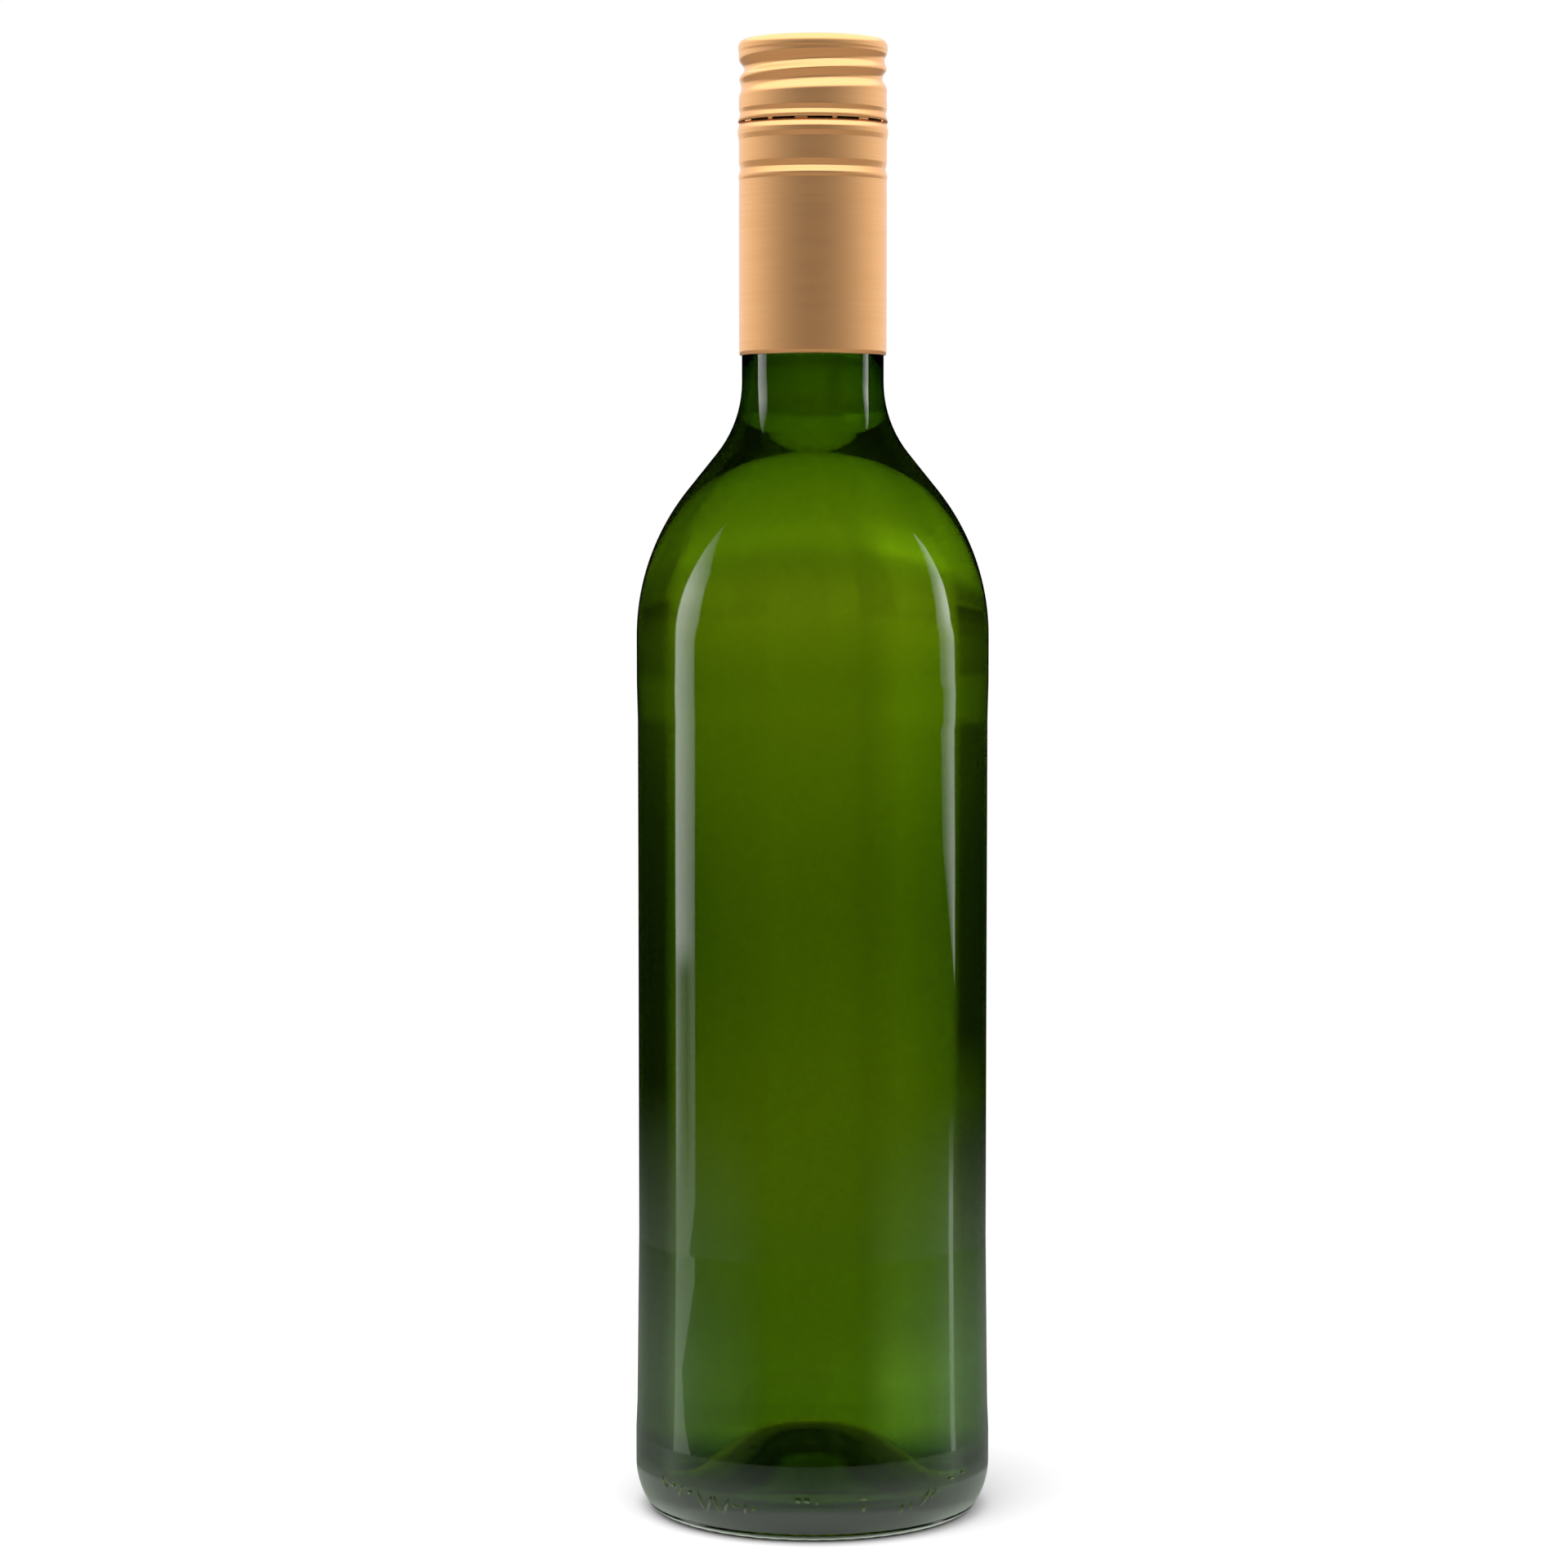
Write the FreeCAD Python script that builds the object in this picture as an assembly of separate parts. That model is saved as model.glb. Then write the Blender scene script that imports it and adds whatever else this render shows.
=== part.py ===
"""A full 75 cl glass wine bottle with its aluminium screw closure still unopened.

The origin is the middle of the ring that the bottle stands on, and +Z runs up its axis. Lengths are in
millimetres and angles in degrees. Every outline is a list of corners (radius, height, rounding) in the
half plane through the axis, and is turned once round +Z.
"""
import FreeCAD
import Part
import math
import os

# ---- overall ----
OVERALL_HEIGHT = 310.0  # from the standing surface to the top of the closure
OVERRUN = 2.0  # how far a cutting tool runs past what it cuts

# ---- glass, outside ----
SHOULDER_RADIUS = 37.15  # the upper contact band, where bottles touch in a row
SHOULDER_SLOPE = 38.8  # of the shoulder's straight run, from the axis
SHOULDER_ROUNDING = 49.1
NECK_STEP = 0.2  # how far the neck lies inside the threaded part of the glass
NECK_ROUNDING = 24.0
NECK_SHOWING = 5.5  # of straight neck below the closure
UPPER_BAND_HEIGHT = 9.6
PANEL_RECESS = 0.2  # how far the label panel lies inside the upper contact band
PANEL_RUN = 8.0  # height over which the band runs out into the label panel
PANEL_BOTTOM = 58.0
SOFT_ROUNDING = 60.0  # of the slight bends above and below the label panel, and in the neck
HEEL_BAND_STEP = 0.5  # how far the lower contact band stands out over the upper one
HEEL_BAND_TOP = 16.5
HEEL_LEDGE = 0.25  # how far the lower contact band stands out over the wall above it
HEEL_LEDGE_RUN = 6.0  # height over which it runs out into that wall
HEEL_LEDGE_ROUNDING = 6.0
HEEL_WIDTH = 5.05  # how far the heel's curve comes in below the contact band
HEEL_HEIGHT = 9.75
HEEL_EDGE_ROUNDING = 3.2  # of the heel's curve where it meets the standing ring

# ---- glass, under the bottle ----
RING_WIDTH = 2.2  # of the flat ring that the bottle stands on
RING_HEIGHT = 1.3  # from the standing surface up to the bottom that the ring runs round
RING_RUN = 0.8  # width of the ring's sloped inner side
PUNT_HEIGHT = 15.4
PUNT_RADIUS = 20.0  # where the punt's flank meets the bottom
PUNT_SLOPE = 43.0  # of its flank, from level
PUNT_ROUNDING = 12.0
PUNT_FOOT_ROUNDING = 6.0

# ---- glass, inside ----
BODY_WALL = 3.0
SHOULDER_WALL = 3.4
NECK_WALL = 4.7
BORE_RADIUS = 9.4  # at the mouth
PUNT_WALL = 4.2  # of glass over the top of the punt
BASE_THICKNESS = 5.6  # from the standing surface up to the lowest of the wine
INNER_PUNT_RADIUS = 20.5
INNER_PUNT_SLOPE = 47.0
INNER_PUNT_ROUNDING = 15.0
INNER_PUNT_FOOT_ROUNDING = 12.0
INNER_HEEL_ROUNDING = 7.0

# ---- glass, under the closure ----
RIM_STEP = 0.35  # how far the rim lies inside the bottom of the thread's groove
RIM_ROUNDING = 0.7
BORE_ROUNDING = 0.8
COLLAR_LENGTH = 4.6  # of the glass collar that the closure is rolled in under
UNDERCUT = 0.8  # how far the glass steps in above and below its collar
THROAT_LENGTH = 5.5  # of the straight throat below the collar
NECK_INSIDE = 5.5  # of straight neck above the closure's lower edge

# ---- closure ----
CLOSURE_RADIUS = 15.5
CLOSURE_LENGTH = 65.6
SHEET = 0.25  # the aluminium's thickness
TOP_BEAD = 0.12  # how far the bead at the top stands out
TOP_BEAD_HEIGHT = 2.7
TOP_BEAD_RUN = 0.48  # height over which the bead runs out at its lower edge
TOP_EDGE_ROUNDING = 1.6
GROOVE_ROUNDING = 0.7
CAP_GROOVE_DEPTH = 0.28
CAP_GROOVE_WIDTH = 1.9
CAP_GROOVE_ABOVE_SLIT = 1.8
SLEEVE_GROOVE_DEPTH = 0.22
SLEEVE_GROOVE_WIDTH = 1.6
SLEEVE_GROOVE_BELOW_SLIT = 1.6
RETAINING_GROOVE_DEPTH = 0.4
RETAINING_GROOVE_WIDTH = 2.4
RETAINING_GROOVE_BELOW_SLIT = 9.8
EDGE_CURL = 0.14  # how far the skirt's lower edge is turned in
EDGE_CURL_HEIGHT = 0.8

# ---- slit between the cap and the sleeve ----
SLIT_BELOW_THREAD = 3.5
SLIT_WIDTH = 0.5
SLIT_FLARE = 0.2  # how far both lips of the slit stand out
SLIT_FLARE_WIDTH = 1.5
BRIDGE_COUNT = 7
BRIDGE_WIDTH = 0.9
BRIDGE_TURN = 16.4  # from -Y to the first bridge, anticlockwise seen from above
TAB_WIDTH = 2.6  # of the low tab half way between two bridges
TAB_HEIGHT = 0.22

# ---- screw thread, rolled into the closure and moulded on the glass ----
THREAD_LENGTH = 11.0  # of the closure that the thread takes up, below its top bead
THREAD_PITCH = 3.8
THREAD_DEPTH = 1.15
THREAD_SWELL = 0.6  # half the groove's width, as a share of the pitch
THREAD_START = 3.5  # from the top of the thread's length to the groove's middle on the -X side
THREAD_LEAD_IN = 340.0  # turn over which the groove deepens, up to the -X side
THREAD_FULL = 30.0  # turn over which it keeps its full depth
THREAD_RUN_OUT = 620.0  # turn over which it fades away again
THREAD_MARGIN = 1.2  # at both ends of the thread's length, where the groove is faded out
SKIN_COLUMNS = 48  # poles round the thread's skin
SKIN_ROWS = 30  # poles up it

# ---- fits ----
SLEEVE_CLEARANCE = 0.15  # between the closure and the glass inside it
LINER_THICKNESS = 2.0
LINER_CLEARANCE = 0.15  # between the liner's edge and the closure
FILL_BELOW_TOP = 62.0  # from the top of the closure down to the wine

# ---- heights that follow ----
RIM_TOP = OVERALL_HEIGHT - SHEET - LINER_THICKNESS
THREAD_TOP = OVERALL_HEIGHT - TOP_BEAD_HEIGHT
THREAD_BOTTOM = THREAD_TOP - THREAD_LENGTH
SLIT_MIDDLE = THREAD_BOTTOM - SLIT_BELOW_THREAD
RETAINING_MIDDLE = SLIT_MIDDLE - RETAINING_GROOVE_BELOW_SLIT
COLLAR_BOTTOM = RETAINING_MIDDLE + RETAINING_GROOVE_WIDTH / 2
SKIRT_BOTTOM = OVERALL_HEIGHT - CLOSURE_LENGTH
FILL_LEVEL = OVERALL_HEIGHT - FILL_BELOW_TOP

# ---- radii that follow ----
FINISH_RADIUS = CLOSURE_RADIUS - SHEET - SLEEVE_CLEARANCE
RIM_RADIUS = FINISH_RADIUS - THREAD_DEPTH - RIM_STEP
NECK_RADIUS = FINISH_RADIUS - NECK_STEP
HEEL_RADIUS = SHOULDER_RADIUS + HEEL_BAND_STEP


def tangent(degrees):
    return math.tan(math.radians(degrees))


def rounded_edges(corners):
    """Straight edges through the corners, with a tangent arc of its rounding at each inner corner.

    Two arcs that need more than the run between them share it in proportion.
    """
    points = [FreeCAD.Vector(radius, 0, height) for radius, height, _ in corners]
    runs = [(after - here).Length for here, after in zip(points, points[1:])]
    turns = [0.0]
    for before, here, after in zip(points, points[1:], points[2:]):
        turns.append((here - before).getAngle(after - here))
    reaches = [corner[2] * math.tan(turn / 2) for corner, turn in zip(corners, turns)] + [0.0]
    shares = [run / max(run, near + far) for run, near, far in zip(runs, reaches, reaches[1:])]
    edges = []
    last = points[0]
    for i in range(1, len(points) - 1):
        reach = reaches[i] * min(shares[i - 1], shares[i])
        if reach < 1e-5:
            edges.append(Part.LineSegment(last, points[i]).toShape())
            last = points[i]
            continue
        back = (points[i - 1] - points[i]).normalize()
        ahead = (points[i + 1] - points[i]).normalize()
        start = points[i] + back * reach
        end = points[i] + ahead * reach
        bulge = reach * math.cos(turns[i] / 2) * math.tan(turns[i] / 4)
        middle = (start + end) / 2 - (back + ahead).normalize() * bulge
        if (start - last).Length > 1e-6:
            edges.append(Part.LineSegment(last, start).toShape())
        edges.append(Part.Arc(start, middle, end).toShape())
        last = end
    edges.append(Part.LineSegment(last, points[-1]).toShape())
    return edges


def turned(corners):
    """The solid of an outline that starts and ends on the axis, turned once round it."""
    edges = rounded_edges(corners)
    first = FreeCAD.Vector(corners[0][0], 0, corners[0][1])
    last = FreeCAD.Vector(corners[-1][0], 0, corners[-1][1])
    edges.append(Part.LineSegment(last, first).toShape())
    face = Part.Face(Part.Wire(edges))
    return face.revolve(FreeCAD.Vector(0, 0, 0), FreeCAD.Vector(0, 0, 1), 360)


def dome(apex_height, foot_radius, foot_height, slope, rounding, foot_rounding):
    """The corners of a round hill from its top on the axis down to its foot."""
    edge_radius = foot_radius - (apex_height - foot_height) / tangent(slope)
    return [
        (0, apex_height, 0),
        (edge_radius, apex_height, rounding),
        (foot_radius, foot_height, foot_rounding),
    ]


def heel():
    """The two corners of the heel, whose arcs run into each other.

    The lower arc has the named rounding, and the upper one the rounding that makes the pair end level
    on the ring and upright on the contact band.
    """
    small = HEEL_EDGE_ROUNDING
    large = (HEEL_WIDTH**2 + HEEL_HEIGHT**2 - 2 * HEEL_HEIGHT * small) / (2 * (HEEL_WIDTH - small))
    turn = math.atan2(HEEL_HEIGHT - small, large - HEEL_WIDTH)
    low_reach = small * math.tan((math.pi / 2 - turn) / 2)
    high_reach = large * math.tan(turn / 2)
    return [
        (HEEL_RADIUS - HEEL_WIDTH + low_reach, 0, small),
        (HEEL_RADIUS, HEEL_HEIGHT - high_reach, large),
    ]


def shoulder_heights():
    """The heights of the shoulder's two corners: at the body's wall and at the neck's."""
    half = SHOULDER_SLOPE / 2
    neck = SKIRT_BOTTOM - NECK_SHOWING - NECK_ROUNDING * tangent(half)
    body = neck - (SHOULDER_RADIUS - NECK_RADIUS) / tangent(SHOULDER_SLOPE)
    return body, neck


def glass_outline():
    """The outside of the glass, from the top of the punt round the heel and up to below the thread."""
    body, neck = shoulder_heights()
    band_top = body - SHOULDER_ROUNDING * tangent(SHOULDER_SLOPE / 2)
    band_bottom = band_top - UPPER_BAND_HEIGHT
    panel = SHOULDER_RADIUS - PANEL_RECESS
    ring_inside = HEEL_RADIUS - HEEL_WIDTH - RING_WIDTH
    collar_top = COLLAR_BOTTOM + COLLAR_LENGTH
    throat = FINISH_RADIUS - UNDERCUT
    return (
        dome(PUNT_HEIGHT, PUNT_RADIUS, RING_HEIGHT, PUNT_SLOPE, PUNT_ROUNDING, PUNT_FOOT_ROUNDING)
        + [(ring_inside - RING_RUN, RING_HEIGHT, RING_RUN), (ring_inside, 0, RING_RUN / 2)]
        + heel()
        + [
            (HEEL_RADIUS, HEEL_BAND_TOP, HEEL_LEDGE_ROUNDING),
            (HEEL_RADIUS - HEEL_LEDGE, HEEL_BAND_TOP + HEEL_LEDGE_RUN, HEEL_LEDGE_ROUNDING),
            (panel, PANEL_BOTTOM, SOFT_ROUNDING),
            (panel, band_bottom - PANEL_RUN, SOFT_ROUNDING),
            (SHOULDER_RADIUS, band_bottom, SOFT_ROUNDING),
            (SHOULDER_RADIUS, body, SHOULDER_ROUNDING),
            (NECK_RADIUS, neck, NECK_ROUNDING),
            (NECK_RADIUS, SKIRT_BOTTOM + NECK_INSIDE, SOFT_ROUNDING),
            (throat, COLLAR_BOTTOM - THROAT_LENGTH, SOFT_ROUNDING),
            (throat, COLLAR_BOTTOM, UNDERCUT / 2),
            (FINISH_RADIUS, COLLAR_BOTTOM + UNDERCUT / 2, UNDERCUT / 2),
            (FINISH_RADIUS, collar_top - UNDERCUT / 2, UNDERCUT / 2),
            (throat, collar_top, UNDERCUT / 2),
            (throat, THREAD_BOTTOM, 0),
            (0, THREAD_BOTTOM, 0),
        ]
    )


def cavity_outline():
    """The inside of the glass, from over the punt out to the wall and up through the mouth."""
    body, _ = shoulder_heights()
    inner_body = SHOULDER_RADIUS - PANEL_RECESS - BODY_WALL
    inner_neck = NECK_RADIUS - NECK_WALL
    slope_radius = SHOULDER_RADIUS - SHOULDER_WALL / math.cos(math.radians(SHOULDER_SLOPE))
    inner_body_height = body + (slope_radius - inner_body) / tangent(SHOULDER_SLOPE)
    inner_neck_height = body + (slope_radius - inner_neck) / tangent(SHOULDER_SLOPE)
    hill = dome(
        PUNT_HEIGHT + PUNT_WALL,
        INNER_PUNT_RADIUS,
        BASE_THICKNESS,
        INNER_PUNT_SLOPE,
        INNER_PUNT_ROUNDING,
        INNER_PUNT_FOOT_ROUNDING,
    )
    return hill + [
        (inner_body, BASE_THICKNESS, INNER_HEEL_ROUNDING),
        (inner_body, inner_body_height, SHOULDER_ROUNDING - SHOULDER_WALL),
        (inner_neck, inner_neck_height, NECK_ROUNDING + NECK_WALL),
        (BORE_RADIUS, RIM_TOP - BORE_ROUNDING, BORE_ROUNDING),
        (BORE_RADIUS + BORE_ROUNDING, RIM_TOP, 0),
        (BORE_RADIUS + BORE_ROUNDING, RIM_TOP + OVERRUN, 0),
        (0, RIM_TOP + OVERRUN, 0),
    ]


def eased(share):
    """A share from 0 to 1, held inside those and with a level start and end."""
    inside = min(1.0, max(0.0, share))
    return (1 - math.cos(math.pi * inside)) / 2


def thread_relief(direction, height):
    """How far the thread's groove reaches in at a direction, anticlockwise from +X, and a height.

    The groove's middle climbs one pitch in each turn to the left of travel, as a right-hand thread does.
    Its depth across is a squared cosine, and along it is eased in, held and eased out.
    """
    half_width = THREAD_SWELL * THREAD_PITCH
    laps_down = math.ceil((THREAD_FULL + THREAD_RUN_OUT) / 360) + 1
    laps_up = math.ceil(THREAD_LEAD_IN / 360) + 2
    depth = 0.0
    for lap in range(-laps_down, laps_up):
        turn = direction + 360 * lap - 180  # from the -X side, upwards
        middle = THREAD_TOP - THREAD_START + THREAD_PITCH * turn / 360
        across = (height - middle) / half_width
        if abs(across) < 1:
            deepening = eased((THREAD_LEAD_IN - turn) / THREAD_LEAD_IN)
            fading = eased(1 - (-turn - THREAD_FULL) / THREAD_RUN_OUT)
            depth += THREAD_DEPTH * deepening * fading * math.cos(across * math.pi / 2) ** 2
    ends = eased((height - THREAD_BOTTOM) / THREAD_MARGIN) * eased((THREAD_TOP - height) / THREAD_MARGIN)
    return depth * ends


def thread_plug(radius):
    """A solid cylinder over the thread's length whose skin is pressed in along the thread's groove.

    The skin is one cubic surface, closed round the axis, with its poles on the pressed-in shape.
    """
    round_step = 360 / SKIN_COLUMNS
    outset = 6 / (4 + 2 * math.cos(math.radians(round_step)))  # poles lie outside the circle they make
    spans = SKIN_ROWS - 3
    knots = [0.0] * 3 + [float(i) for i in range(spans + 1)] + [float(spans)] * 3
    heights = []
    for row in range(SKIN_ROWS):
        share = sum(knots[row + 1 : row + 4]) / 3 / spans
        heights.append(THREAD_BOTTOM + THREAD_LENGTH * share)
    poles = []
    for column in range(SKIN_COLUMNS):
        direction = column * round_step
        across, along = math.cos(math.radians(direction)), math.sin(math.radians(direction))
        reach = [(radius - thread_relief(direction, height)) * outset for height in heights]
        poles.append([FreeCAD.Vector(r * across, r * along, h) for r, h in zip(reach, heights)])
    surface = Part.BSplineSurface()
    surface.buildFromPolesMultsKnots(
        poles,
        [1] * (SKIN_COLUMNS + 1),
        [4] + [1] * (spans - 1) + [4],
        [float(i) for i in range(SKIN_COLUMNS + 1)],
        [float(i) for i in range(spans + 1)],
        True,
        False,
        3,
        3,
    )
    skin = surface.toShape()
    faces = [skin]
    for edge in skin.Edges:
        if edge.BoundBox.ZLength < 1e-6:
            faces.append(Part.Face(Part.Wire([edge])))
    closed = Part.Compound(faces)
    closed.sewShape(1e-6)
    return Part.makeSolid(closed.Shells[0])


def groove(radius, middle, depth, width):
    """The corners of a rolled groove, from its upper edge to its lower one."""
    return [
        (radius, middle + width / 2, GROOVE_ROUNDING),
        (radius - depth, middle, GROOVE_ROUNDING),
        (radius, middle - width / 2, GROOVE_ROUNDING),
    ]


def closure_form(inset, foot):
    """The closure's outside, or its inside at an inset of the sheet, as a solid down to a foot height."""
    wall = CLOSURE_RADIUS - inset
    top = OVERALL_HEIGHT - inset
    bead = wall + TOP_BEAD
    crown = [
        (0, top, 0),
        (bead, top, TOP_EDGE_ROUNDING - inset),
        (bead, THREAD_TOP + TOP_BEAD_RUN, GROOVE_ROUNDING),
        (wall, THREAD_TOP, 0),
        (0, THREAD_TOP, 0),
    ]
    rings = (
        groove(wall, SLIT_MIDDLE + CAP_GROOVE_ABOVE_SLIT, CAP_GROOVE_DEPTH, CAP_GROOVE_WIDTH)
        + groove(wall, SLIT_MIDDLE, -SLIT_FLARE, SLIT_FLARE_WIDTH)
        + groove(wall, SLIT_MIDDLE - SLEEVE_GROOVE_BELOW_SLIT, SLEEVE_GROOVE_DEPTH, SLEEVE_GROOVE_WIDTH)
        + groove(wall, RETAINING_MIDDLE, RETAINING_GROOVE_DEPTH, RETAINING_GROOVE_WIDTH)
    )
    curl_top = SKIRT_BOTTOM + EDGE_CURL_HEIGHT
    curl = EDGE_CURL * (curl_top - foot) / EDGE_CURL_HEIGHT
    skirt = (
        [(0, THREAD_BOTTOM, 0), (wall, THREAD_BOTTOM, 0)]
        + rings
        + [(wall, curl_top, GROOVE_ROUNDING), (wall - curl, foot, 0), (0, foot, 0)]
    )
    return turned(crown).fuse([thread_plug(wall), turned(skirt)], 1e-4)


def slit_cutter():
    """The ring that parts the cap from the sleeve, all but its bridges and its low tabs."""
    low = SLIT_MIDDLE - SLIT_WIDTH / 2
    deep = CLOSURE_RADIUS - 2 * OVERRUN
    reach = 3 * OVERRUN
    ring = Part.makeCylinder(CLOSURE_RADIUS + OVERRUN, SLIT_WIDTH, FreeCAD.Vector(0, 0, low))
    ring = ring.cut(Part.makeCylinder(deep, SLIT_WIDTH, FreeCAD.Vector(0, 0, low)))
    kept = []
    for width, height, offset in ((BRIDGE_WIDTH, SLIT_WIDTH, 0), (TAB_WIDTH, TAB_HEIGHT, 0.5)):
        for i in range(BRIDGE_COUNT):
            corner = FreeCAD.Vector(-width / 2, -deep - reach, low)
            block = Part.makeBox(width, reach, height, corner)
            turn = BRIDGE_TURN + (i + offset) * 360 / BRIDGE_COUNT
            block.rotate(FreeCAD.Vector(0, 0, 0), FreeCAD.Vector(0, 0, 1), turn)
            kept.append(block)
    return ring.cut(kept)


def glass_bottle(cavity):
    """The bottle: the blown body and neck, the threaded band of its finish, and its rim."""
    rim = turned(
        [
            (0, THREAD_TOP, 0),
            (RIM_RADIUS, THREAD_TOP, 0),
            (RIM_RADIUS, RIM_TOP, RIM_ROUNDING),
            (0, RIM_TOP, 0),
        ]
    )
    solid = turned(glass_outline()).fuse([thread_plug(FINISH_RADIUS), rim])
    return solid.cut(cavity)


def wine(cavity):
    """The wine, which fills the bottle's inside up to its level."""
    height = FILL_LEVEL - RING_HEIGHT
    below = Part.makeCylinder(SHOULDER_RADIUS, height, FreeCAD.Vector(0, 0, RING_HEIGHT))
    return cavity.common(below)


def closure():
    """The one-piece shell of cap, bridges and sleeve, as it is before the first twist."""
    outside = closure_form(0, SKIRT_BOTTOM)
    inside = closure_form(SHEET, SKIRT_BOTTOM - OVERRUN)
    return outside.cut(inside).cut(slit_cutter())


def liner():
    """The sealing disc pressed between the rim and the top of the cap."""
    radius = CLOSURE_RADIUS + TOP_BEAD - SHEET - LINER_CLEARANCE
    corners = [
        (0, RIM_TOP, 0),
        (radius, RIM_TOP, 0),
        (radius, RIM_TOP + LINER_THICKNESS, TOP_EDGE_ROUNDING - SHEET),
        (0, RIM_TOP + LINER_THICKNESS, 0),
    ]
    return turned(corners)


def main():
    os.makedirs("parts", exist_ok=True)
    cavity = turned(cavity_outline())
    pieces = {
        "glass_bottle": glass_bottle(cavity),
        "wine": wine(cavity),
        "closure": closure(),
        "liner": liner(),
    }
    for name, shape in pieces.items():
        volume = round(shape.Volume / 1000, 2)
        print(name, "solids", len(shape.Solids), "valid", shape.isValid(), "cm3", volume)
        shape.exportStep("parts/" + name + ".step")


main()
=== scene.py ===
"""A full green wine bottle under a gold aluminium screw closure, on a pale floor in soft light.

Lengths are written in millimetres and become metres where a mesh is made. Directions round the
bottle are in degrees, anticlockwise from +X seen from above, and the bottle faces -Y.
"""
import math

import bpy
import numpy as np
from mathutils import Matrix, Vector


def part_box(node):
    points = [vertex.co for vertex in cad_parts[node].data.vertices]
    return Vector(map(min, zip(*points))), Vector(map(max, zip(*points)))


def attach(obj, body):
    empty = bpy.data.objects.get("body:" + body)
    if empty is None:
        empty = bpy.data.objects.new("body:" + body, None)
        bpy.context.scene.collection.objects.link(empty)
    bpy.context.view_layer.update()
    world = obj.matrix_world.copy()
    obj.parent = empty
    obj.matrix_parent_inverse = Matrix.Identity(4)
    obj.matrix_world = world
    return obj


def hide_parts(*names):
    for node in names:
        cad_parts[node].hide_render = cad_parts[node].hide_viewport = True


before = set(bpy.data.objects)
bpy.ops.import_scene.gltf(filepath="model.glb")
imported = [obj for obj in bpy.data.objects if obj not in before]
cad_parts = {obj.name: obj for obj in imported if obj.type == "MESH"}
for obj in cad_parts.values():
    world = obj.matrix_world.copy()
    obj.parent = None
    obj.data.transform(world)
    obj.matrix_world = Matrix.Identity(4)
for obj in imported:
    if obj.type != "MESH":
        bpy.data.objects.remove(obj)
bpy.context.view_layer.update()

MM = 0.001

# ---- the glass bottle ----
# Blown from olive-green container glass in a two-part mould. It stands on a knurled ring round its
# punt, and has raised bands where bottles touch in a row. The screw finish is under the closure.
GLASS_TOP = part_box("glass_bottle")[1][2] / MM
HEEL_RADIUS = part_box("glass_bottle")[1][0] / MM
SKIRT_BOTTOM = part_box("closure")[0][2] / MM
CLOSURE_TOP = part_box("closure")[1][2] / MM
HEEL_BAND_STEP = 0.5  # how far the lower contact band stands out over the upper one
HEEL_BAND_TOP = 16.5
HEEL_LEDGE = 0.25  # how far the lower contact band stands out over the wall above it
HEEL_LEDGE_RUN = 6.0
HEEL_LEDGE_ROUNDING = 6.0
HEEL_WIDTH = 5.05  # how far the heel's curve comes in below the contact band
HEEL_HEIGHT = 9.75
HEEL_EDGE_ROUNDING = 3.2
RING_WIDTH = 2.2  # of the flat ring that the bottle stands on
RING_HEIGHT = 1.3
RING_RUN = 0.8  # width of the ring's sloped inner side
RING_ROUNDING = 0.8
PUNT_HEIGHT = 15.4
PUNT_RADIUS = 20.0
PUNT_SLOPE = 43.0  # of its flank, from level
PUNT_ROUNDING = 12.0
PUNT_FOOT_ROUNDING = 6.0
SHOULDER_RADIUS = HEEL_RADIUS - HEEL_BAND_STEP
SHOULDER_SLOPE = 38.8  # of the shoulder's straight run, from the axis
SHOULDER_ROUNDING = 49.1
UPPER_BAND_HEIGHT = 9.6
PANEL_RECESS = 0.2  # how far the label panel lies inside the upper contact band
PANEL_RUN = 8.0
PANEL_BOTTOM = 58.0
SOFT_ROUNDING = 60.0
FINISH_RADIUS = 15.1
NECK_STEP = 0.2  # how far the neck lies inside the threaded part of the glass
NECK_RADIUS = FINISH_RADIUS - NECK_STEP
NECK_ROUNDING = 24.0
NECK_RUN = 5.5  # of straight neck below the closure's lower edge, and above it
COLLAR_LENGTH = 4.6  # of the glass collar that the closure is rolled in under
UNDERCUT = 0.8  # how far the glass steps in above and below its collar
THROAT_LENGTH = 5.5
BODY_WALL = 3.0
SHOULDER_WALL = 3.4
NECK_WALL = 4.7
BORE_RADIUS = 9.4  # at the mouth
BORE_ROUNDING = 0.8
MOUTH_DEPTH = 4.0
BASE_THICKNESS = 5.6
INNER_HEEL_ROUNDING = 7.0
PUNT_WALL = 4.2  # of glass over the top of the punt
INNER_PUNT_HEIGHT = PUNT_HEIGHT + PUNT_WALL
INNER_PUNT_RADIUS = 20.5
INNER_PUNT_SLOPE = 47.0
INNER_PUNT_ROUNDING = 15.0
INNER_PUNT_FOOT_ROUNDING = 12.0
TOP_BEAD_HEIGHT = 2.7  # of the closure's plain rim above the thread
THREAD_TOP = CLOSURE_TOP - TOP_BEAD_HEIGHT
THREAD_LENGTH = 11.0
THREAD_BOTTOM = THREAD_TOP - THREAD_LENGTH
THREAD_START = THREAD_TOP - 3.5  # height of the groove's middle on the -X side
THREAD_PITCH = 3.8
THREAD_DEPTH = 1.15
THREAD_REACH = 0.6 * THREAD_PITCH
THREAD_MARGIN = 1.2  # at both ends of the thread's length, where the groove is faded out
THREAD_ROWS = 34
RIM_STEP = 0.35  # how far the rim lies inside the bottom of the thread's groove
RIM_RADIUS = FINISH_RADIUS - THREAD_DEPTH - RIM_STEP
RIM_ROUNDING = 0.7
SLIT_BELOW_THREAD = 3.5
SLIT_MIDDLE = THREAD_BOTTOM - SLIT_BELOW_THREAD
RETAINING_GROOVE_BELOW_SLIT = 9.8
RETAINING_GROOVE_WIDTH = 2.4
GLASS_COLUMNS = 432
RIPPLE = 0.015
KNURLS = 54
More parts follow.
